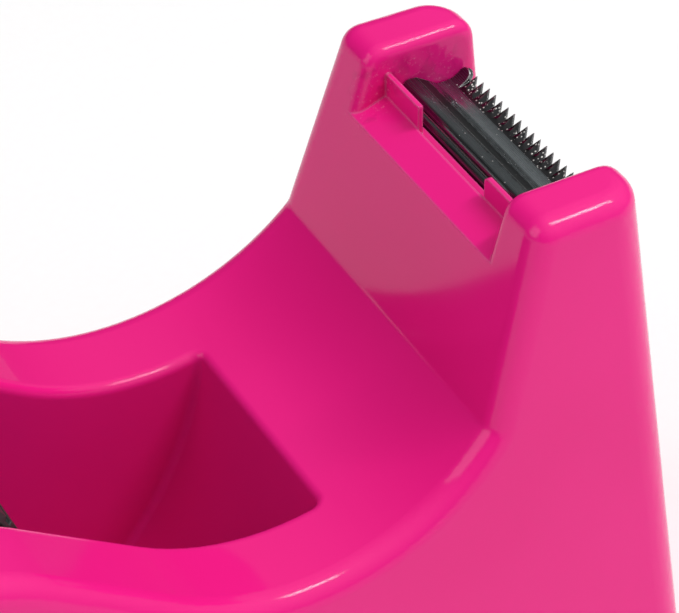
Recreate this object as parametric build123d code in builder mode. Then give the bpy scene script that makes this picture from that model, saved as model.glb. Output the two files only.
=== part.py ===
from build123d import *

import os
from math import asin, cos, radians, sin, tan

# Desk tape dispenser for 19 mm tape on a 25.4 mm (1 inch) core. Sizes in millimetres.
# Frame: +X towards the cutter, +Y across the tape, +Z up. The origin is on the surface
# that the dispenser stands on, in the middle of its length and width.

# Casing
length = 137.0
shell_bottom = 1.0
wall = 2.5
front_lean = 0.1036  # run of the front face per unit of height
ear_top = 74.4
fold_x = 44.0  # foot of the head's rear slope, where the saddle begins
fold_z = 54.0
rear_slope_lean = 0.2627
fold_radius = 1.2
front_fillet = 4.0  # the two upright edges at the front
outer_fillet = 2.3

# Sides: flat faces that lean in towards the top and close up slightly towards the cutter
fold_half_width = 20.3
plan_taper = 0.027
side_flare = 0.094

# Saddle, hump and rear end of the side profile
saddle_x = 25.3
saddle_z = 69.1
saddle_radius = 24.0
saddle_rise = 33.5  # degrees
hump_start_x = 0.0
hump_radius = 24.0
back_drop = 6.5  # from the hump's crest to the rear end
rear_lean = 0.12
rear_corner_radius = 10.0

# Tape well, concentric with the hub
hub_x = -10.0
hub_z = 49.4
well_radius = 40.8
well_half_width = 11.9
well_corner_radius = 0.8
rim_fillet = 1.0

# Recess for the cutter, between the two ears
ear_gap_half = 12.0
ear_inner_fillet = 1.2
recess_rear_x = 47.5
recess_rear_z = 67.7
recess_front_x = 51.1
recess_front_z = 69.1
recess_overcut = 3.0  # the cut runs past the casing by this much
slot_step_x = 52.1  # a step beside the slot, below the recess floor
slot_step_z = 68.5
slot_front_x = 53.5
slot_floor = 62.0
seat_z = 67.9
lip_x = 58.6  # the front lip slopes down from here to the front face
lip_drop = 2.8
head_solid_from = 59.5

# Small tabs that hold the cutter down, one beside each ear
tab_thickness = 0.5
tab_top = 71.6
tab_bottom = 67.0
tab_reach = 6.1
tab_corner_radius = 0.7
tab_root = 0.4  # how far the tabs run into the ears

# Cutter: one bent strip of spring steel with a row of teeth
blade_thickness = 0.5
blade_half_width = 11.85
bar_top = 70.2
bar_length = 1.3
leg_setback = 0.2  # from the slot's rear wall to the leg
ledge_drop = 1.1  # from the bar's top to the ledge behind it
ledge_width = 0.6
bend_radius = 0.25
leg_clearance = 0.4
valley_top = 68.6
valley_rear_x = 56.4
valley_front_x = 57.6
edge_curve_radius = 2.4
edge_curve_angle = 65.0
lobe_radius = 1.2
tooth_tip_x = 60.1
tooth_pitch = 1.136
tooth_count = 18
tooth_depth = 1.0
tooth_overcut = 0.1

# Axle and hub
axle_radius = 2.4
axle_half_length = 14.9
axle_flat_half = 2.0
axle_chamfer = 0.3
axle_flat_y = 11.6  # the flats run from here to the ends
groove_half_width = 2.2
groove_depth = 15.2  # half-width between the floors of the two grooves
groove_pad_half = 6.5
running_gap = 0.06
hub_radius = 12.4
hub_half_length = 10.5
hub_wall = 1.8
hub_end_wall = 1.6
hub_sleeve_radius = 4.2
hub_chamfer = 0.6
flute_count = 12
flute_width = 0.8
flute_depth = 0.35
window_count = 6
window_radius = 1.8
window_circle = 7.4
cap_skirt = 3.0
cap_skirt_wall = 1.2
press_gap = 0.02

# Base plate, screws, pad and ballast
plate_inset = 1.4
plate_corner_radius = 1.5
plate_gap = 0.1
plate_bottom = 1.1
plate_top = shell_bottom + wall
boss_radius = 3.4
boss_height = 16.0
pilot_radius = 1.3
pilot_depth = 13.0
screw_rows_x = (-57.0, 54.0)
screw_from_skin = 2.4  # the bosses run into the casing's sides
screw_length = 11.0
screw_shank_radius = 1.28
screw_hole_radius = 1.6
screw_head_radius = 2.9
screw_slot_width = 0.7
screw_slot_depth = 0.6
pad_inset = 3.6
pad_hole_radius = 4.2  # the holes run out of the pad's edge
ballast_gap = 0.8
ballast_top = 42.0
ballast_half_width = 14.0
ballast_under_well = 28.0  # how far from the hub's axis the blocks reach in under the well

reach = 90.0  # clears the whole casing


def half_width(x, z):
    """Half-width of the casing's flat sides, before the edges are rounded."""
    return fold_half_width - plan_taper * (x - fold_x) - side_flare * (z - fold_z)


def front_x(z):
    """Front face of the casing at height z."""
    return length / 2 - front_lean * (z - shell_bottom)


def rear_x(z):
    """Rear face of the casing at height z."""
    return -length / 2 + rear_lean * (z - shell_bottom)


def side_profile(inset):
    """Face of the casing's side view, drawn in by inset. The ears' corners are sharp."""
    rise = radians(saddle_rise)
    saddle_end = (saddle_x - saddle_radius * sin(rise), saddle_z - saddle_radius * cos(rise))
    hump_start = (hump_start_x, saddle_end[1] + (saddle_end[0] - hump_start_x) * tan(rise))
    crest = (hump_start_x - hump_radius * sin(rise), hump_start[1] + hump_radius * (1 - cos(rise)))
    hump_middle = (crest[0] + hump_radius * sin(rise / 2), crest[1] - hump_radius * (1 - cos(rise / 2)))
    back_end_x = rear_x(crest[1] - back_drop)
    back_end = (back_end_x, crest[1] - back_drop)
    back_radius = ((crest[0] - back_end_x) ** 2 + back_drop**2) / (2 * back_drop)
    back_angle = asin((crest[0] - back_end_x) / back_radius)
    back_middle = (
        crest[0] - back_radius * sin(back_angle / 2),
        crest[1] - back_radius * (1 - cos(back_angle / 2)),
    )
    with BuildSketch(Plane.XZ) as profile:
        with BuildLine():
            Polyline(
                back_end,
                (rear_x(shell_bottom), shell_bottom),
                (front_x(shell_bottom), shell_bottom),
                (front_x(ear_top), ear_top),
                (fold_x + rear_slope_lean * (ear_top - fold_z), ear_top),
                (fold_x, fold_z),
            )
            ThreePointArc((fold_x, fold_z), (saddle_x, saddle_z - saddle_radius), saddle_end)
            Line(saddle_end, hump_start)
            ThreePointArc(hump_start, hump_middle, crest)
            ThreePointArc(crest, back_middle, back_end)
        make_face()
        fillet(profile.vertices().sort_by_distance((fold_x, fold_z))[0], radius=fold_radius)
        fillet(profile.vertices().sort_by_distance(back_end)[0], radius=rear_corner_radius)
        if inset > 0:
            offset(amount=-inset, mode=Mode.REPLACE)
    return profile.sketch


def outline(height, rear, front, inset, corner_radius=0.0):
    """Plan of the casing at one height, from rear to front, with its sides drawn in by inset."""
    with BuildSketch(Plane.XY.offset(height)) as plan:
        with BuildLine():
            Polyline(
                (rear, half_width(rear, height) - inset),
                (rear, inset - half_width(rear, height)),
                (front, inset - half_width(front, height)),
                (front, half_width(front, height) - inset),
                close=True,
            )
        make_face()
        if corner_radius > 0:
            fillet(plan.vertices(), radius=corner_radius)
    return plan.sketch


def between_sides(inset):
    """Plans, one low and one high, whose loft holds everything between the casing's sides."""
    return [outline(height, -reach, reach, inset) for height in (-reach, reach)]


def inset_plans(low, high, inset):
    """Plans of the casing at two heights, drawn in all round by inset."""
    return [
        outline(height, rear_x(height) + inset, front_x(height) - inset, inset, plate_corner_radius)
        for height in (low, high)
    ]


def flanks():
    """The two flat sides of the solid in the active part."""
    return faces().filter_by(lambda face: abs(face.normal_at().Y) > 0.9)


def is_front_upright(edge):
    """Whether an edge runs up the front face, from the bottom to the ears."""
    middle = edge @ 0.5
    return edge.length > (ear_top - shell_bottom) / 2 and middle.X > front_x(middle.Z) - front_fillet - 0.5


def is_inner_ear_edge(edge):
    """Whether an edge bounds an ear's inner face, above the recess floor."""
    on_inner_face = all(abs(abs(corner.Y) - ear_gap_half) < 0.01 for corner in edge.vertices())
    return on_inner_face and edge.bounding_box().max.Z > recess_front_z + 1


def screw_places():
    """The four screws' places in plan, near the corners."""
    return [
        (x, side * (half_width(x, plate_top) - wall - screw_from_skin))
        for x in screw_rows_x
        for side in (-1, 1)
    ]


def hub_plane(y):
    """Plane across the hub's axis, facing +Y. Its second axis points down."""
    return Plane(origin=(hub_x, y, hub_z), x_dir=(1, 0, 0), z_dir=(0, 1, 0))


# Space inside the casing: it leaves the outer skin, the well's skin, the solid head,
# the pads behind the axle grooves and the screw bosses
with BuildPart() as cavity:
    extrude(side_profile(wall), amount=reach, both=True)
    loft(between_sides(wall), mode=Mode.INTERSECT)
    with Locations((0, 0, head_solid_from)):
        Box(2 * reach, 2 * reach, reach, align=(Align.CENTER, Align.CENTER, Align.MIN), mode=Mode.SUBTRACT)
    well_skin = well_half_width + wall
    with BuildSketch(hub_plane(-well_skin)):
        Circle(well_radius + wall)
    extrude(amount=2 * well_skin, mode=Mode.SUBTRACT)
    with Locations((hub_x, 0, hub_z)):
        Box(2 * (well_radius + wall), 2 * well_skin, reach,
            align=(Align.CENTER, Align.CENTER, Align.MIN), mode=Mode.SUBTRACT)
    with Locations((hub_x, 0, hub_z - groove_pad_half)):
        Box(2 * groove_pad_half, reach, reach,
            align=(Align.CENTER, Align.CENTER, Align.MIN), mode=Mode.SUBTRACT)
    for x, y in screw_places():
        with Locations((x, y, plate_top)):
            Cylinder(boss_radius, boss_height,
                     align=(Align.CENTER, Align.CENTER, Align.MIN), mode=Mode.SUBTRACT)

# Space for the roll of tape: the lower half of a drum, open straight up
with BuildPart() as well:
    with BuildSketch(hub_plane(-well_half_width)):
        Circle(well_radius)
        with Locations((0, -reach / 2)):
            Rectangle(2 * well_radius, reach)
    extrude(amount=2 * well_half_width)
    well_sides = well.faces().filter_by(Axis.Y)
    fillet(well_sides.edges(), radius=well_corner_radius)

# Casing: one moulding with the saddle, the well, the head and its two ears
with BuildPart() as body_shell:
    extrude(side_profile(0), amount=reach, both=True)
    loft(between_sides(0), mode=Mode.INTERSECT)
    fillet(flanks().edges().filter_by(is_front_upright), radius=front_fillet)
    flank_edges = flanks().edges().filter_by(
        lambda edge: edge.center().Z > shell_bottom + 0.1 and not is_front_upright(edge)
    )
    head_top = body_shell.faces().sort_by(Axis.Z)[-1]
    fillet(ShapeList(set(flank_edges + head_top.edges())), radius=outer_fillet)
    add(well.part, mode=Mode.SUBTRACT)
    rim = body_shell.edges(Select.LAST).filter_by(
        lambda edge: (edge @ 0.5).Z > saddle_z - saddle_radius and abs((edge % 0.5).Z) < 0.9
    )
    fillet(rim, radius=rim_fillet)
    add(cavity.part, mode=Mode.SUBTRACT)
    # Recess between the ears, with the slot that the cutter's leg goes down into
    with BuildSketch(Plane.XZ):
        floor_slope = (recess_front_z - recess_rear_z) / (recess_front_x - recess_rear_x)
        lip_slope = lip_drop / (front_x(seat_z) - lip_x)
        cut_rear = recess_rear_x - recess_overcut
        cut_front = front_x(seat_z) + recess_overcut
        with BuildLine():
            Polyline(
                (cut_rear, recess_rear_z - recess_overcut * floor_slope),
                (recess_front_x, recess_front_z),
                (recess_front_x, slot_step_z),
                (slot_step_x, slot_step_z),
                (slot_step_x, slot_floor),
                (slot_front_x, slot_floor),
                (slot_front_x, seat_z),
                (lip_x, seat_z),
                (cut_front, seat_z - lip_slope * (cut_front - lip_x)),
                (cut_front, ear_top + recess_overcut),
                (cut_rear, ear_top + recess_overcut),
                close=True,
            )
        make_face()
    extrude(amount=ear_gap_half, both=True, mode=Mode.SUBTRACT)
    fillet(body_shell.edges().filter_by(is_inner_ear_edge), radius=ear_inner_fillet)
    # Tabs that hold the cutter down
    for side in (-1, 1):
        with BuildSketch(Plane.YZ.offset(recess_front_x)) as tab_face:
            tab_width = tab_reach + tab_root
            with Locations((side * (ear_gap_half + tab_root - tab_width / 2), (tab_bottom + tab_top) / 2)):
                Rectangle(tab_width, tab_top - tab_bottom)
            fillet(
                tab_face.vertices().group_by(Axis.Y)[-1].sort_by(lambda corner: abs(corner.Y))[0],
                radius=tab_corner_radius,
            )
        extrude(amount=tab_thickness)
    # Grooves that the axle's ends drop into
    with Locations((hub_x, 0, hub_z - axle_radius)):
        Box(2 * groove_half_width, 2 * groove_depth, reach,
            align=(Align.CENTER, Align.CENTER, Align.MIN), mode=Mode.SUBTRACT)
    # Rebate for the base plate
    loft(inset_plans(shell_bottom, plate_top, plate_inset), mode=Mode.SUBTRACT)
    for x, y in screw_places():
        with Locations((x, y, plate_top)):
            Cylinder(pilot_radius, pilot_depth,
                     align=(Align.CENTER, Align.CENTER, Align.MIN), mode=Mode.SUBTRACT)
body_shell.part.label = "body_shell"

# Cutter: leg, landing bar, valley and a curved front edge that carries the teeth
with BuildPart() as cutter_blade:
    leg_x = slot_step_x + leg_setback + blade_thickness / 2
    bar_z = bar_top - blade_thickness / 2
    valley_z = valley_top - blade_thickness / 2
    with BuildSketch(Plane.XZ):
        with BuildLine():
            leg = FilletPolyline(
                (leg_x, slot_floor + leg_clearance),
                (leg_x, bar_z - ledge_drop),
                (leg_x + ledge_width, bar_z - ledge_drop),
                (leg_x + ledge_width, bar_z),
                (leg_x + ledge_width + bar_length, bar_z),
                (valley_rear_x, valley_z),
                (valley_front_x, valley_z),
                radius=bend_radius,
            )
            JernArc(leg @ 1, leg % 1, edge_curve_radius, edge_curve_angle)
        trace(line_width=blade_thickness)
    extrude(amount=blade_half_width, both=True)
    front_corners = cutter_blade.edges().filter_by(
        lambda edge: edge.length < 2 * blade_thickness and edge.center().X > valley_front_x + 1
    )
    fillet(front_corners.filter_by(lambda edge: abs(edge.tangent_at().Y) < 0.1), radius=lobe_radius)
    tooth_row = (tooth_count - 1) / 2
    with BuildSketch(Plane.XY.offset(valley_z)):
        for gap in range(tooth_count + 1):
            gap_y = (gap - tooth_row - 0.5) * tooth_pitch
            with BuildLine():
                Polyline(
                    (tooth_tip_x - tooth_depth, gap_y),
                    (tooth_tip_x + tooth_overcut, gap_y - tooth_pitch / 2),
                    (tooth_tip_x + tooth_overcut, gap_y + tooth_pitch / 2),
                    close=True,
                )
            make_face()
    extrude(amount=ear_top - valley_z, mode=Mode.SUBTRACT)
cutter_blade.part.label = "cutter_blade"

# Axle: a steel pin with flats at its ends, which keep it from turning in the grooves
with BuildPart() as hub_axle:
    with BuildSketch(hub_plane(-axle_half_length)):
        Circle(axle_radius)
    extrude(amount=2 * axle_half_length)
    chamfer(hub_axle.edges(), length=axle_chamfer)
    flat_middle_y = (axle_half_length + axle_flat_y) / 2
    for end in (-1, 1):
        for side in (-1, 1):
            with Locations((hub_x + side * 2 * axle_flat_half, end * flat_middle_y, hub_z)):
                Box(2 * axle_flat_half, axle_half_length - axle_flat_y, 4 * axle_radius, mode=Mode.SUBTRACT)
hub_axle.part.label = "hub_axle"

# Hub: a cup-shaped drum that the tape core is pushed onto, and the cap that closes it
with BuildPart() as hub_drum:
    with BuildSketch(hub_plane(-hub_half_length)):
        Circle(hub_radius)
    extrude(amount=2 * hub_half_length)
    chamfer(hub_drum.edges().filter_by(GeomType.CIRCLE), length=hub_chamfer)
    with BuildSketch(hub_plane(hub_end_wall - hub_half_length)):
        Circle(hub_radius - hub_wall)
        Circle(hub_sleeve_radius, mode=Mode.SUBTRACT)
    extrude(amount=2 * hub_half_length, mode=Mode.SUBTRACT)
    with BuildSketch(hub_plane(-hub_half_length)):
        Circle(axle_radius + running_gap)
        with PolarLocations(window_circle, window_count):
            Circle(window_radius)
    extrude(amount=2 * hub_half_length, mode=Mode.SUBTRACT)
    with BuildSketch(hub_plane(-hub_half_length)):
        with PolarLocations(hub_radius, flute_count):
            Rectangle(2 * flute_depth, flute_width)
    extrude(amount=2 * hub_half_length, mode=Mode.SUBTRACT)
hub_drum.part.label = "hub_drum"

with BuildPart() as hub_cap:
    with BuildSketch(hub_plane(hub_half_length - hub_end_wall)):
        Circle(hub_radius - hub_wall - press_gap)
        Circle(hub_sleeve_radius + press_gap, mode=Mode.SUBTRACT)
        with PolarLocations(window_circle, window_count):
            Circle(window_radius, mode=Mode.SUBTRACT)
    extrude(amount=hub_end_wall)
    with BuildSketch(hub_plane(hub_half_length - hub_end_wall - cap_skirt)):
        Circle(hub_radius - hub_wall - press_gap)
        Circle(hub_radius - hub_wall - cap_skirt_wall, mode=Mode.SUBTRACT)
    extrude(amount=cap_skirt)
hub_cap.part.label = "hub_cap"

# Base plate with countersunk holes, pressed up against the rebate's ledge by four screws
with BuildPart() as base_plate:
    loft(inset_plans(plate_bottom, plate_top, plate_inset + plate_gap))
    with Locations(Plane(origin=(0, 0, plate_bottom), x_dir=(1, 0, 0), z_dir=(0, 0, -1))):
        with Locations(*[(x, -y) for x, y in screw_places()]):
            CounterSinkHole(screw_hole_radius, screw_head_radius + plate_gap, counter_sink_angle=90)
base_plate.part.label = "base_plate"

with BuildPart() as base_screws:
    for x, y in screw_places():
        with BuildSketch(Plane(origin=(x, y, plate_bottom), x_dir=(1, 0, 0), z_dir=(0, -1, 0))):
            with BuildLine():
                Polyline(
                    (0, 0),
                    (screw_head_radius, 0),
                    (screw_shank_radius, screw_head_radius - screw_shank_radius),
                    (screw_shank_radius, screw_length - screw_shank_radius),
                    (0, screw_length),
                    close=True,
                )
            make_face()
        revolve(axis=Axis((x, y, 0), (0, 0, 1)))
        with Locations((x, y, plate_bottom)):
            Box(4 * screw_head_radius, screw_slot_width, 2 * screw_slot_depth, mode=Mode.SUBTRACT)
base_screws.part.label = "base_screws"

# Foam pad with a hole around each screw
with BuildPart() as non_slip_pad:
    with BuildSketch():
        add(inset_plans(0, 0, pad_inset)[0])
        with Locations(*screw_places()):
            Circle(pad_hole_radius, mode=Mode.SUBTRACT)
    extrude(amount=plate_bottom)
non_slip_pad.part.label = "non_slip_pad"

# Ballast: one block in the head and one in the rear end, either side of the well
skin_clearance = wall + ballast_gap
with BuildPart() as ballast_space:
    extrude(side_profile(skin_clearance), amount=ballast_half_width, both=True)
    with Locations((0, 0, ballast_top)):
        Box(2 * reach, reach, reach, align=(Align.CENTER, Align.CENTER, Align.MIN), mode=Mode.SUBTRACT)
    with BuildSketch(hub_plane(-ballast_half_width)):
        Circle(well_radius + skin_clearance)
        Rectangle(2 * ballast_under_well, reach * 2)
    extrude(amount=2 * ballast_half_width, mode=Mode.SUBTRACT)
rear_block, front_block = ballast_space.solids().sort_by(Axis.X)
with BuildPart() as ballast_front:
    add(front_block)
ballast_front.part.label = "ballast_front"
with BuildPart() as ballast_rear:
    add(rear_block)
ballast_rear.part.label = "ballast_rear"

os.makedirs("parts", exist_ok=True)
pieces = (
    body_shell,
    cutter_blade,
    hub_axle,
    hub_drum,
    hub_cap,
    base_plate,
    base_screws,
    non_slip_pad,
    ballast_front,
    ballast_rear,
)
for piece in pieces:
    export_step(piece.part, f"parts/{piece.part.label}.step")
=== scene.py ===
import math

import bmesh
import bpy
from mathutils import Matrix, Vector


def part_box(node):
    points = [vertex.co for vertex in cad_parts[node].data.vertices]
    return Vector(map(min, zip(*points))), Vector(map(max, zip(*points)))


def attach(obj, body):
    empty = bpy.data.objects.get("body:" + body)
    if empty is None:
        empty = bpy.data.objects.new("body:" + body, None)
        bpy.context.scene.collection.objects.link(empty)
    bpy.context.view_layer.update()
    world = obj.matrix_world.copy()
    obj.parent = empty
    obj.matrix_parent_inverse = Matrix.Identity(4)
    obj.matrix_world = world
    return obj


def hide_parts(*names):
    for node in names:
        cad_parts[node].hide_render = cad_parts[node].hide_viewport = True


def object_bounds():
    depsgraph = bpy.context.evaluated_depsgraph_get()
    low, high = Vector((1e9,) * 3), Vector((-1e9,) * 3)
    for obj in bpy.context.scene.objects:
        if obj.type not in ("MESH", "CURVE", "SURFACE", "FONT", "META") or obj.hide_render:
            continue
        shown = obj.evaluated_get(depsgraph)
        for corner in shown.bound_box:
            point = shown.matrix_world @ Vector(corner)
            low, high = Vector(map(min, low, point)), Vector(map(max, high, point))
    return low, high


MM = 0.001

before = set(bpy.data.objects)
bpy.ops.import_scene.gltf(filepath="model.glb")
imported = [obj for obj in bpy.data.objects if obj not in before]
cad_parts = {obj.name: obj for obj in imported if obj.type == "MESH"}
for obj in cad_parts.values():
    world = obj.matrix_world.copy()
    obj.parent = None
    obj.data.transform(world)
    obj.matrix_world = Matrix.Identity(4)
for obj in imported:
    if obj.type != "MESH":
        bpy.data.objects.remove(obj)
cad_bounds = [Vector(corner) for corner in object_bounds()]
centre = (cad_bounds[0] + cad_bounds[1]) / 2
scene = bpy.context.scene
scene.view_settings.view_transform = "Standard"

# Camera, in the CAD frame, with its angles in radians and its lens in millimetres
CAMERA_AT = Vector((-78.1, -209.6, 258.6)) * MM
CAMERA_YAW = 1.060
CAMERA_PITCH = 0.699
CAMERA_LENS = 178.35

# Studio: each light's direction from the object, distance, size along X and across, and power
KEY_TOWARDS = Vector((0.405, -0.30, 0.865)).normalized()
KEY_STRIP = (KEY_TOWARDS, 1.1, (0.40, 0.08), 4.2)
KEY_SOFTBOX = (Vector((0.30, -0.12, 0.95)).normalized(), 1.1, (0.6, 0.6), 1.7)
FILL_SOFTBOX = (Vector((-0.85, -0.05, 0.50)).normalized(), 1.2, (0.9, 0.9), 4.9)
SKY_FLOOR = 0.05
SKY_GLOW = 1.2
SKY_FALLOFF = 2.0
FLOOR_HALF = 4.0

# Casing colour, in its deeper and paler places
HOT_PINK = ((0.780, 0.0105, 0.212), (0.825, 0.0130, 0.236))

# Scuffed patch beside the cutter's far end: its low corner from the rear, far side and top of the
# cutter's box, and its high corner from the front, far side and top
SCUFF_LOW = Vector((-4.0, -1.0, -3.0)) * MM
SCUFF_HIGH = Vector((-2.0, 1.0, 2.0)) * MM
SCUFF_FADE = 1.5 * MM

# Stripes along the cutter, from its front edge: where each fades in and where it fades out. The paler stripe
# is painted sheen on the hollow, the darker one painted shade on the slope behind the bar.
# Its dust, and the painted glints on the ground teeth, thin out towards the tips and end before them.
PAINTED_SHEEN_STRIPE = ((-4.1 * MM, -3.7 * MM), (-3.2 * MM, -1.0 * MM))
PAINTED_SHADE_STRIPE = ((-5.5 * MM, -5.2 * MM), (-4.0 * MM, -3.8 * MM))
STRIPE_RAGGEDNESS = 0.9 * MM
DUST_AND_GLINTS_THIN = -0.7 * MM
DUST_AND_GLINTS_END = -0.3 * MM


def make_camera():
    data = bpy.data.cameras.new("camera")
    data.lens = CAMERA_LENS
    data.sensor_width = 36.0
    data.sensor_fit = "HORIZONTAL"
    data.clip_start = 0.01
    data.clip_end = 20.0
    camera = bpy.data.objects.new("camera", data)
    scene.collection.objects.link(camera)
    camera.location = CAMERA_AT
    aim = Vector((
        math.cos(CAMERA_YAW) * math.cos(CAMERA_PITCH),
        math.sin(CAMERA_YAW) * math.cos(CAMERA_PITCH),
        -math.sin(CAMERA_PITCH),
    ))
    camera.rotation_euler = aim.to_track_quat("-Z", "Y").to_euler()
    scene.camera = camera


def area_light(name, towards, distance, size, power, in_reflections=True):
    """A rectangular light that faces the object from one direction, with its first side along X."""
    data = bpy.data.lights.new(name, "AREA")
    data.shape = "RECTANGLE"
    data.size, data.size_y = size
    data.energy = power
    light = bpy.data.objects.new(name, data)
    scene.collection.objects.link(light)
    light.location = centre + towards * distance
    along = (Vector((1, 0, 0)) - towards * towards.x).normalized()
    light.rotation_euler = Matrix((along, towards.cross(along), towards)).transposed().to_euler()
    light.visible_glossy = in_reflections


def make_sky():
    """White light from above, strongest around the key light and dim near the horizon."""
    world = bpy.data.worlds.new("studio")
    scene.world = world
    world.use_nodes = True
    nodes = world.node_tree.nodes
    links = world.node_tree.links
    direction = nodes.new("ShaderNodeTexCoord")
    towards_key = nodes.new("ShaderNodeVectorMath")
    towards_key.operation = "DOT_PRODUCT"
    towards_key.inputs[1].default_value = KEY_TOWARDS
    links.new(direction.outputs["Generated"], towards_key.inputs[0])
    lit_half = nodes.new("ShaderNodeMath")
    lit_half.operation = "MAXIMUM"
    lit_half.inputs[1].default_value = 0.0
    links.new(towards_key.outputs["Value"], lit_half.inputs[0])
    glow = nodes.new("ShaderNodeMath")
    glow.operation = "POWER"
    glow.inputs[1].default_value = SKY_FALLOFF
    links.new(lit_half.outputs[0], glow.inputs[0])
    strength = nodes.new("ShaderNodeMath")
    strength.operation = "MULTIPLY_ADD"
    strength.inputs[1].default_value = SKY_GLOW
    strength.inputs[2].default_value = SKY_FLOOR
    links.new(glow.outputs[0], strength.inputs[0])
    links.new(strength.outputs[0], nodes["Background"].inputs["Strength"])
    nodes["Background"].inputs["Color"].default_value = (1.0, 1.0, 1.0, 1.0)


class Finish:
    """The nodes of one material. Textures are set out in the object's own space, in metres."""

    # Cosines of the turn of the surface at which the edge mask starts and is full: edge wear on most parts,
    # painted highlight lines on the cutter
    EDGE_MASK_STARTS = 0.997
    EDGE_MASK_FULL = 0.93

    SCRATCH_WIDTH = 0.06  # as a share of the spacing

    def __init__(self, name, roughness=0.5, metallic=0.0):
        self.material = bpy.data.materials.new(name)
        self.material.use_nodes = True
        self.tree = self.material.node_tree
        self.shader = self.tree.nodes["Principled BSDF"]
        self.shader.inputs["Roughness"].default_value = roughness
        self.shader.inputs["Metallic"].default_value = metallic
        self.place = self.tree.nodes.new("ShaderNodeTexCoord").outputs["Object"]
        self.rounded = None

    def node(self, kind, inputs=None, **settings):
        """A new node. An input that is given a socket is linked to it, and any other is set."""
        node = self.tree.nodes.new("ShaderNode" + kind)
        for name, value in settings.items():
            setattr(node, name, value)
        for key, value in (inputs or {}).items():
            if isinstance(value, bpy.types.NodeSocket):
                self.tree.links.new(value, node.inputs[key])
            else:
                node.inputs[key].default_value = value
        return node

    def math(self, operation, first, second=0.0):
        return self.node("Math", {0: first, 1: second}, operation=operation).outputs[0]

    def stretched(self, scale, turn=(0.0, 0.0, 0.0)):
        """Coordinates turned, then scaled by a different amount along each axis."""
        mapping = self.node("Mapping", {"Vector": self.place, "Scale": scale, "Rotation": turn})
        return mapping.outputs["Vector"]

    def noise(self, size, detail=2.0, place=None, roughness=0.5):
        """Cloudy noise from 0 to 1, with features of about this size in metres."""
        inputs = {"Vector": place or self.place, "Scale": 1 / size, "Detail": detail, "Roughness": roughness}
        return self.node("TexNoise", inputs).outputs["Fac"]

    def band(self, value, low, high, start=0.0, end=1.0):
        """Maps low..high to start..end, smoothly and without going past either."""
        inputs = {"Value": value, "From Min": low, "From Max": high, "To Min": start, "To Max": end}
        return self.node("MapRange", inputs, interpolation_type="SMOOTHSTEP").outputs["Result"]

    def stripe(self, value, fade_in, fade_out):
        """1 between two places and 0 beyond them, with both fades given as (low, high)."""
        above = self.band(value, fade_in[0], fade_in[1])
        below = self.band(value, fade_out[1], fade_out[0])
        return self.math("MULTIPLY", above, below)

    def specks(self, spacing, radius, share):
        """Small dots, about this far apart. Only a share of them shows."""
        cells = self.node("TexVoronoi", {"Vector": self.place, "Scale": 1 / spacing})
        dots = self.band(cells.outputs["Distance"], radius / spacing, 0.4 * radius / spacing)
        pick = self.node("SeparateColor", {"Color": cells.outputs["Color"]}).outputs["Red"]
        return self.math("MULTIPLY", dots, self.band(pick, 1 - share, 1 - share + 0.02))

    def scratches(self, spacing, turn, share=0.35):
        """Fine straight scratches that run one way, broken up into short lengths."""
        place = self.stretched((1.0, 0.03, 1.0), turn)
        cells = self.node("TexVoronoi", {"Vector": place, "Scale": 1 / spacing}, feature="DISTANCE_TO_EDGE")
        lines = self.band(cells.outputs["Distance"], self.SCRATCH_WIDTH, self.SCRATCH_WIDTH * 0.25)
        return self.math("MULTIPLY", lines, self.band(self.noise(spacing * 4), 1 - share - 0.1, 1 - share))

    def blend(self, amount, first, second):
        """Goes from the first colour to the second as amount goes from 0 to 1."""
        mix = self.node("Mix", {"Factor": amount}, data_type="RGBA")
        for socket, colour in ((mix.inputs[6], first), (mix.inputs[7], second)):
            if isinstance(colour, bpy.types.NodeSocket):
                self.tree.links.new(colour, socket)
            else:
                socket.default_value = (*colour, 1.0)
        return mix.outputs[2]

    def edges(self, radius):
        """1 at the solid's edges and 0 on its open faces. The bump then rounds those edges too."""
        self.rounded = self.node("Bevel", {"Radius": radius}, samples=4).outputs["Normal"]
        plain = self.node("NewGeometry").outputs["Normal"]
        alike = self.node("VectorMath", {0: self.rounded, 1: plain}, operation="DOT_PRODUCT").outputs["Value"]
        return self.band(alike, self.EDGE_MASK_STARTS, self.EDGE_MASK_FULL)

    def near(self, low, high, fade):
        """1 inside a box given in metres, falling to 0 over the fade distance around it."""
        axes = self.node("SeparateXYZ", {"Vector": self.place}).outputs
        inside = None
        for axis in range(3):
            fade_in = (low[axis] - fade, low[axis])
            fade_out = (high[axis], high[axis] + fade)
            between = self.stripe(axes[axis], fade_in, fade_out)
            inside = between if inside is None else self.math("MULTIPLY", inside, between)
        return inside

    def total(self, *parts):
        """Sum of weighted values, given as (socket, weight) pairs."""
        result = None
        for socket, weight in parts:
            scaled = self.math("MULTIPLY", socket, weight)
            result = scaled if result is None else self.math("ADD", result, scaled)
        return result

    def bump(self, height, depth):
        """Raises the surface by height times depth in metres."""
        inputs = {"Height": height, "Strength": 1.0, "Distance": depth}
        if self.rounded is not None:
            inputs["Normal"] = self.rounded
        return self.node("Bump", inputs).outputs["Normal"]

    def finish(self, colour=None, roughness=None, normal=None):
        for name, socket in (("Base Color", colour), ("Roughness", roughness), ("Normal", normal)):
            if socket is not None:
                self.tree.links.new(socket, self.shader.inputs[name])
        return self.material


def shade(colour, factor):
    """The colour with every channel made stronger or weaker by the factor."""
    return tuple(channel * factor for channel in colour)


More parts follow.
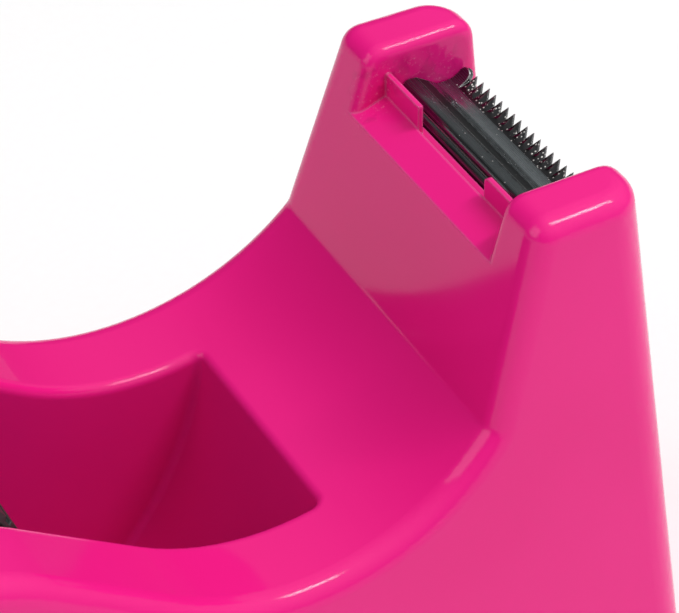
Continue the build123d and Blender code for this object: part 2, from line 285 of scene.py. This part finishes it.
def shell_plastic():
    """Glossy hot pink moulded plastic, lightly handled, scuffed beside the cutter's far end."""
    finish = Finish("shell_plastic_look")
    finish.shader.inputs["Specular IOR Level"].default_value = 0.27
    tone = finish.blend(finish.band(finish.noise(35 * MM), 0.3, 0.7), *HOT_PINK)
    blade_low, blade_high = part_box("cutter_blade")
    scuffed_low = Vector((blade_low.x, blade_high.y, blade_high.z)) + SCUFF_LOW
    scuffed_high = Vector((blade_high.x, blade_high.y, blade_high.z)) + SCUFF_HIGH
    scuffed = finish.near(scuffed_low, scuffed_high, SCUFF_FADE)
    grit = finish.band(finish.noise(0.45 * MM, 5.0, roughness=0.8), 0.54, 0.70)
    rubbed = finish.math("MULTIPLY", scuffed, grit)
    smears = finish.band(finish.noise(2.2 * MM, 3.0), 0.50, 0.62)
    stained = finish.math("MULTIPLY", scuffed, smears)
    dust = finish.specks(5.5 * MM, 0.09 * MM, share=0.4)
    hairlines = finish.scratches(6.0 * MM, (0.3, 0.5, 0.6), share=0.2)
    worn = finish.edges(0.35 * MM)
    colour = finish.blend(finish.math("MULTIPLY", stained, 0.35), tone, (0.42, 0.004, 0.11))
    colour = finish.blend(finish.math("MULTIPLY", rubbed, 0.22), colour, (0.88, 0.36, 0.55))
    colour = finish.blend(finish.math("MULTIPLY", worn, 0.30), colour, (0.93, 0.28, 0.52))
    colour = finish.blend(finish.math("MULTIPLY", dust, 0.5), colour, (0.92, 0.45, 0.62))
    roughness = finish.total(
        (finish.band(finish.noise(11 * MM, 3.0), 0.3, 0.7, 0.085, 0.125), 1.0),
        (rubbed, 0.30),
        (hairlines, 0.05),
        (dust, 0.4),
    )
    height = finish.total(
        (finish.noise(2.6 * MM, 2.0), 0.0035),
        (finish.noise(14 * MM, 1.0), 0.014),
        (hairlines, -0.0004),
        (rubbed, -0.004),
        (dust, 0.008),
    )
    return finish.finish(colour, roughness, finish.bump(height, MM))


def plated_steel(name, base, edge_highlight_colour, roughness, dust_and_glint_spacing, dust_and_glint_radius, dust_and_glint_share):
    """Dark plated strip with fine drawing lines along its length, a stripe of painted sheen and one of
    painted shade, painted highlight lines along its edges, and specks that are dust on the plate and painted
    glints on the ground teeth.
    """
    finish = Finish(name, metallic=1.0)
    tone = finish.blend(finish.noise(3.5 * MM, 4.0), shade(base, 0.75), shade(base, 1.25))
    lines = finish.noise(0.1 * MM, 3.0, finish.stretched((1.0, 0.02, 1.0)))
    stains = finish.band(finish.noise(1.3 * MM, 5.0, roughness=0.65), 0.60, 0.75)
    worn = finish.edges(0.2 * MM)
    forward = finish.node("SeparateXYZ", {"Vector": finish.place}).outputs["X"]
    from_front = finish.math("SUBTRACT", forward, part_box("cutter_blade")[1].x)
    below_teeth = finish.band(from_front, DUST_AND_GLINTS_END, DUST_AND_GLINTS_THIN)
    # Specks: dust on the plate, painted glints on the ground teeth.
    dust = finish.math("MULTIPLY", below_teeth, finish.specks(dust_and_glint_spacing, dust_and_glint_radius, dust_and_glint_share))
    swing = finish.math("MULTIPLY", finish.noise(0.7 * MM, 4.0, roughness=0.7), STRIPE_RAGGEDNESS)
    ragged = finish.math("ADD", from_front, swing)
    painted_sheen = finish.stripe(ragged, *PAINTED_SHEEN_STRIPE)
    painted_shade = finish.stripe(ragged, *PAINTED_SHADE_STRIPE)
    colour = finish.blend(finish.math("MULTIPLY", stains, 0.35), tone, shade(base, 0.4))
    # Painted light: the paler stripe is painted sheen on the hollow, the darker one painted shade on the
    # slope behind the bar, which is also made rougher.
    colour = finish.blend(finish.math("MULTIPLY", painted_sheen, 0.9), colour, shade(base, 2.4))
    colour = finish.blend(finish.math("MULTIPLY", painted_shade, 0.85), colour, shade(base, 0.15))
    # Painted highlight: the edge mask paints thin pale lines along the strip's edges, in place of light
    # caught on rounded edges.
    colour = finish.blend(finish.math("MULTIPLY", worn, 0.75), colour, edge_highlight_colour)
    colour = finish.blend(dust, colour, (0.75, 0.73, 0.70))
    rough = finish.total(
        (finish.band(lines, 0.25, 0.75, roughness * 0.75, roughness * 1.35), 1.0),
        (stains, 0.12),
        (painted_shade, 0.2),
        (dust, 0.35),
    )
    height = finish.total((lines, 0.004), (dust, 0.02), (finish.noise(0.35 * MM, 2.0), 0.0025))
    return finish.finish(colour, rough, finish.bump(height, MM))


def turned_steel():
    """Bright axle steel with turning rings and light storage marks."""
    finish = Finish("axle_steel_look", metallic=1.0)
    tone = finish.blend(finish.noise(4 * MM, 3.0), (0.50, 0.50, 0.51), (0.62, 0.61, 0.60))
    rings = finish.noise(0.12 * MM, 1.0, finish.stretched((0.02, 1.0, 0.02)))
    spots = finish.band(finish.noise(0.8 * MM, 4.0), 0.62, 0.75)
    colour = finish.blend(finish.math("MULTIPLY", spots, 0.5), tone, (0.28, 0.24, 0.21))
    rough = finish.total((finish.band(rings, 0.2, 0.8, 0.2, 0.36), 1.0), (spots, 0.2))
    return finish.finish(colour, rough, finish.bump(rings, 0.006 * MM))


def moulded_plastic(name, dark, light, rubbed, roughness, grain, depth):
    """Satin or spark-textured moulded plastic, paler where its edges are rubbed."""
    finish = Finish(name)
    finish.shader.inputs["Specular IOR Level"].default_value = 0.45
    tone = finish.blend(finish.noise(9 * MM, 3.0), dark, light)
    texture = finish.noise(grain, 3.0, roughness=0.6)
    marks = finish.scratches(3.0 * MM, (0.4, 0.1, 1.2))
    worn = finish.math("MULTIPLY", finish.edges(0.3 * MM), finish.noise(1.5 * MM, 3.0))
    colour = finish.blend(finish.math("MULTIPLY", worn, 0.8), tone, rubbed)
    colour = finish.blend(finish.math("MULTIPLY", marks, 0.3), colour, rubbed)
    uneven = finish.band(texture, 0.3, 0.7, roughness * 0.8, roughness * 1.2)
    rough = finish.total((uneven, 1.0), (marks, 0.1))
    height = finish.total((texture, 1.0), (marks, -0.4))
    return finish.finish(colour, rough, finish.bump(height, depth))


def zinc_plate():
    """Zinc-plated screw steel with a faint yellow cast, brighter at its edges."""
    finish = Finish("screw_zinc", metallic=1.0)
    spangle = finish.node("TexVoronoi", {"Vector": finish.place, "Scale": 1 / (0.5 * MM)})
    tone = finish.blend(spangle.outputs["Distance"], (0.58, 0.57, 0.53), (0.46, 0.46, 0.45))
    worn = finish.edges(0.12 * MM)
    colour = finish.blend(finish.math("MULTIPLY", worn, 0.6), tone, (0.75, 0.74, 0.72))
    fine = finish.noise(0.2 * MM, 3.0)
    rough = finish.band(fine, 0.3, 0.7, 0.25, 0.42)
    return finish.finish(colour, rough, finish.bump(fine, 0.01 * MM))


def closed_foam():
    """Black closed-cell foam with small open pores in its cut skin."""
    finish = Finish("pad_foam_look")
    cells = finish.node("TexVoronoi", {"Vector": finish.place, "Scale": 1 / (0.35 * MM)})
    pores = finish.band(cells.outputs["Distance"], 0.35, 0.1)
    tone = finish.blend(finish.noise(7 * MM, 4.0), (0.018, 0.018, 0.019), (0.034, 0.033, 0.032))
    lint = finish.specks(2.5 * MM, 0.10 * MM, share=0.4)
    colour = finish.blend(pores, tone, (0.006, 0.006, 0.006))
    colour = finish.blend(finish.math("MULTIPLY", lint, 0.6), colour, (0.30, 0.29, 0.28))
    rough = finish.band(finish.noise(1.2 * MM, 2.0), 0.3, 0.7, 0.78, 0.95)
    height = finish.total((pores, -1.0), (finish.noise(0.9 * MM, 3.0), 0.5))
    return finish.finish(colour, rough, finish.bump(height, 0.06 * MM))


def cast_iron():
    """Sand-cast ballast, dull grey with rust blooms."""
    finish = Finish("ballast_iron_look", metallic=0.7)
    grain = finish.noise(0.9 * MM, 5.0, roughness=0.65)
    rust = finish.band(finish.noise(6 * MM, 4.0), 0.52, 0.66)
    tone = finish.blend(grain, (0.09, 0.088, 0.086), (0.17, 0.165, 0.16))
    colour = finish.blend(rust, tone, (0.16, 0.07, 0.035))
    rough = finish.band(grain, 0.3, 0.7, 0.55, 0.8)
    return finish.finish(colour, rough, finish.bump(grain, 0.15 * MM))


def floor_paper():
    """Matt white backdrop paper with a faint fibre."""
    finish = Finish("floor_paper", roughness=0.75)
    finish.shader.inputs["Specular IOR Level"].default_value = 0.2
    fibre = finish.noise(1.2 * MM, 3.0)
    colour = finish.blend(fibre, (0.92, 0.92, 0.92), (0.945, 0.945, 0.945))
    return finish.finish(colour, normal=finish.bump(fibre, 0.01 * MM))


def make_floor(material):
    mesh = bpy.data.meshes.new("floor")
    corners = [(x * FLOOR_HALF, y * FLOOR_HALF, 0.0) for x, y in ((-1, -1), (1, -1), (1, 1), (-1, 1))]
    mesh.from_pydata(corners, [], [(0, 1, 2, 3)])
    mesh.materials.append(material)
    floor = bpy.data.objects.new("floor", mesh)
    scene.collection.objects.link(floor)


def new_piece(name, mesh, material, smooth_angle=None):
    """Links a mesh as an object. Given an angle, it is smooth-shaded except across sharper edges."""
    piece = bpy.data.objects.new(name, mesh)
    scene.collection.objects.link(piece)
    mesh.materials.append(material)
    if smooth_angle is not None:
        mesh.polygons.foreach_set("use_smooth", [True] * len(mesh.polygons))
        mesh.set_sharp_from_angle(angle=smooth_angle)
    return piece


# Cutter, in millimetres from its box's rear edge and top, along X and Z
BLADE_THICKNESS = 0.5
BLADE_PROFILE = (  # centre line: leg, ledge, bar with a faint crown, slope and valley
    ((0.25, -7.80), 0.0),
    ((0.25, -1.35), 0.25),
    ((0.85, -1.35), 0.25),
    ((0.85, -0.27), 0.25),
    ((1.40, -0.20), 0.0),
    ((1.95, -0.27), 0.0),
    ((4.35, -1.85), 0.8),
    ((5.30, -1.85), 0.0),
)
EDGE_CURVE_RADIUS = 2.4
EDGE_CURVE_ANGLE = math.radians(65)
EDGE_LENGTH = EDGE_CURVE_RADIUS * EDGE_CURVE_ANGLE
TOOTH_COUNT = 18
TOOTH_PITCH = 1.136
TOOTH_LENGTH = 1.05
TOOTH_ROW_HALF = TOOTH_COUNT * TOOTH_PITCH / 2
LOBE_HALF = 0.78
LOBE_STEPS = 8
FACET_REACH = 1.15
FACET_DEPTH = 0.30
TIP_THICKNESS = 0.10
TIP_TAPER_FROM = 0.6  # share of the way from the facet's start to the tip
PLAIN_ROWS = 7
GROUND_ROWS = 5
ARC_STEP = math.radians(12)
BLADE_SMOOTH_ANGLE = math.radians(23)

PAD_VOXEL = 0.55 * MM


def rounded_line(points):
    """Turns ((x, z), radius) corners into a line whose corners are arcs."""
    line = []
    for index, (corner, radius) in enumerate(points):
        corner = Vector(corner)
        if radius == 0.0:
            line.append(corner)
            continue
        before = (Vector(points[index - 1][0]) - corner).normalized()
        after = (Vector(points[index + 1][0]) - corner).normalized()
        half = before.angle(after) / 2
        setback = radius / math.tan(half)
        middle = corner + (before + after).normalized() * (radius / math.sin(half))
        start, end = corner + before * setback, corner + after * setback
        sweep = math.pi - 2 * half
        steps = max(3, math.ceil(sweep / ARC_STEP))
        first = start - middle
        turn = 1.0 if first.x * (end - middle).y - first.y * (end - middle).x > 0 else -1.0
        for step in range(steps + 1):
            angle = turn * sweep * step / steps
            line.append(middle + Vector((
                first.x * math.cos(angle) - first.y * math.sin(angle),
                first.x * math.sin(angle) + first.y * math.cos(angle),
            )))
    return line


def blade_columns(half_width):
    """Places across the blade as (y, edge length lost to the outline, closeness to a tooth gap)."""
    columns = []
    lobe_middle = half_width - LOBE_HALF
    for step in range(LOBE_STEPS + 1):
        angle = math.pi * step / LOBE_STEPS
        y = -lobe_middle - LOBE_HALF * math.cos(angle)
        columns.append((y, LOBE_HALF * (1 - math.sin(angle)), 0.0))
    lobes = list(columns)
    for tooth in range(TOOTH_COUNT):
        root = -TOOTH_ROW_HALF + tooth * TOOTH_PITCH
        columns.append((root, TOOTH_LENGTH, 1.0))
        columns.append((root + TOOTH_PITCH / 2, 0.0, 0.0))
    columns.append((TOOTH_ROW_HALF, TOOTH_LENGTH, 1.0))
    columns.extend((-y, lost, gap) for y, lost, gap in reversed(lobes))
    return columns


def blade_profile(line, lost):
    """The centre line from leg to edge, as (point, share of the way along the ground part)."""
    start, direction = line[-1], (line[-1] - line[-2]).normalized()
    upward = Vector((-direction.y, direction.x))
    middle = start + upward * EDGE_CURVE_RADIUS

    def edge_point(distance):
        angle = distance / EDGE_CURVE_RADIUS
        return middle + EDGE_CURVE_RADIUS * (direction * math.sin(angle) - upward * math.cos(angle))

    ground_from = EDGE_LENGTH - TOOTH_LENGTH - FACET_REACH
    ground_length = EDGE_LENGTH - lost - ground_from
    profile = [(point, 0.0) for point in line]
    for row in range(1, PLAIN_ROWS + 1):
        profile.append((edge_point(ground_from * row / PLAIN_ROWS), 0.0))
    for row in range(1, GROUND_ROWS + 1):
        share = row / GROUND_ROWS
        profile.append((edge_point(ground_from + ground_length * share), share))
    return profile


def half_thickness(side, share, gap, is_tip):
    """Half the strip's thickness, less the facets ground into its upper side and the thinned tips."""
    half = BLADE_THICKNESS / 2
    if side == 1:
        half -= FACET_DEPTH * gap * share
    if is_tip and share > TIP_TAPER_FROM:
        taper = (share - TIP_TAPER_FROM) / (1 - TIP_TAPER_FROM)
        half *= 1 - taper * (1 - TIP_THICKNESS / BLADE_THICKNESS)
    return half


def blade_sheets(mesh, columns, line, corner):
    """The upper (1) and lower (-1) side as columns of vertices. The corner is the box's rear top."""
    sheets = {1: [], -1: []}
    for y, lost, gap in columns:
        profile = blade_profile(line, lost)
        is_tip = lost == 0.0 and abs(y) < TOOTH_ROW_HALF
        for side in (1, -1):
            verts = []
            for index, (point, share) in enumerate(profile):
                behind = profile[max(index - 1, 0)][0]
                ahead = profile[min(index + 1, len(profile) - 1)][0]
                along = (ahead - behind).normalized()
                across = Vector((-along.y, along.x))
                place = point + across * side * half_thickness(side, share, gap, is_tip)
                verts.append(mesh.verts.new((corner.x + place.x * MM, y * MM, corner.z + place.y * MM)))
            sheets[side].append(verts)
    return sheets


def skin_blade(mesh, sheets, first_ground_row):
    """Faces over both sides, the outline and the ends. The ground ones use the second material."""
    top, bottom = sheets[1], sheets[-1]
    last_column, last_row = len(top) - 1, len(top[0]) - 1
    toothed = range(LOBE_STEPS, last_column - LOBE_STEPS)

    def add_face(corners, flipped, ground=False):
        face = mesh.faces.new(corners[::-1] if flipped else corners)
        face.material_index = 1 if ground else 0

    for column in range(last_column):
        for row in range(last_row):
            for side in (1, -1):
                here, there = sheets[side][column], sheets[side][column + 1]
                corners = [here[row], here[row + 1], there[row + 1], there[row]]
                is_ground = side == 1 and row >= first_ground_row and column in toothed
                add_face(corners, side == 1, is_ground)
        for row in (0, last_row):
            corners = [top[column][row], top[column + 1][row], bottom[column + 1][row], bottom[column][row]]
            add_face(corners, row > 0, row > 0 and column in toothed)
    for column in (0, last_column):
        for row in range(last_row):
            corners = [top[column][row], bottom[column][row], bottom[column][row + 1], top[column][row + 1]]
            add_face(corners, column > 0)
    bmesh.ops.recalc_face_normals(mesh, faces=mesh.faces)


def make_blade(body_finish, ground_finish):
    """One bent strip whose curved front edge is cut into ground teeth between two round lobes."""
    low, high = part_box("cutter_blade")
    line = rounded_line(BLADE_PROFILE)
    mesh = bmesh.new()
    sheets = blade_sheets(mesh, blade_columns(high.y / MM), line, Vector((low.x, 0.0, high.z)))
    skin_blade(mesh, sheets, len(line) + PLAIN_ROWS - 1)
    data = bpy.data.meshes.new("cutter_blade_detail")
    mesh.to_mesh(data)
    mesh.free()
    blade = new_piece("cutter_blade_detail", data, body_finish, BLADE_SMOOTH_ANGLE)
    data.materials.append(ground_finish)
    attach(blade, "casing")
    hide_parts("cutter_blade")


def make_pad(material):
    """Foam pad: the die-cut sheet with softly rounded cut edges."""
    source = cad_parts["non_slip_pad"]
    data = source.data.copy()
    data.name = "foam_pad"
    data.materials.clear()
    pad = new_piece("foam_pad", data, material)
    voxels = pad.modifiers.new("even_mesh", "REMESH")
    voxels.mode = "VOXEL"
    voxels.voxel_size = PAD_VOXEL
    soften = pad.modifiers.new("soft_edges", "SMOOTH")
    soften.factor = 0.5
    soften.iterations = 2
    depsgraph = bpy.context.evaluated_depsgraph_get()
    softened = bpy.data.meshes.new_from_object(pad.evaluated_get(depsgraph))
    pad.modifiers.clear()
    pad.data = softened
    softened.polygons.foreach_set("use_smooth", [True] * len(softened.polygons))
    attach(pad, "casing")
    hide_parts("non_slip_pad")


def dress_nodes(looks):
    """Gives each CAD node that stays visible its material."""
    for name, material in looks.items():
        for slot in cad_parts[name].material_slots:
            slot.material = material


make_camera()
area_light("key_strip", *KEY_STRIP)
area_light("key_softbox", *KEY_SOFTBOX, in_reflections=False)
area_light("fill_softbox", *FILL_SOFTBOX)
make_sky()
make_floor(floor_paper())

hub_black = moulded_plastic(
    "hub_plastic_look",
    dark=(0.010, 0.010, 0.011),
    light=(0.018, 0.018, 0.019),
    rubbed=(0.09, 0.09, 0.09),
    roughness=0.34,
    grain=0.5 * MM,
    depth=0.010 * MM,
)
base_black = moulded_plastic(
    "base_plastic_look",
    dark=(0.014, 0.014, 0.015),
    light=(0.024, 0.023, 0.023),
    rubbed=(0.12, 0.12, 0.12),
    roughness=0.55,
    grain=0.25 * MM,
    depth=0.04 * MM,
)
blade_plate = plated_steel(
    "blade_plate",
    base=(0.142, 0.158, 0.165),
    edge_highlight_colour=(0.80, 0.80, 0.80),
    roughness=0.25,
    dust_and_glint_spacing=0.6 * MM,
    dust_and_glint_radius=0.085 * MM,
    dust_and_glint_share=0.35,
)
# Ground teeth: their many bright specks are painted glints.
blade_ground = plated_steel(
    "blade_ground",
    base=(0.055, 0.055, 0.058),
    edge_highlight_colour=(0.45, 0.45, 0.45),
    roughness=0.20,
    dust_and_glint_spacing=0.34 * MM,
    dust_and_glint_radius=0.12 * MM,
    dust_and_glint_share=0.75,
)
iron = cast_iron()
dress_nodes({
    "body_shell": shell_plastic(),
    "hub_axle": turned_steel(),
    "hub_drum": hub_black,
    "hub_cap": hub_black,
    "base_plate": base_black,
    "base_screws": zinc_plate(),
    "ballast_front": iron,
    "ballast_rear": iron,
})
make_blade(blade_plate, blade_ground)
make_pad(closed_foam())
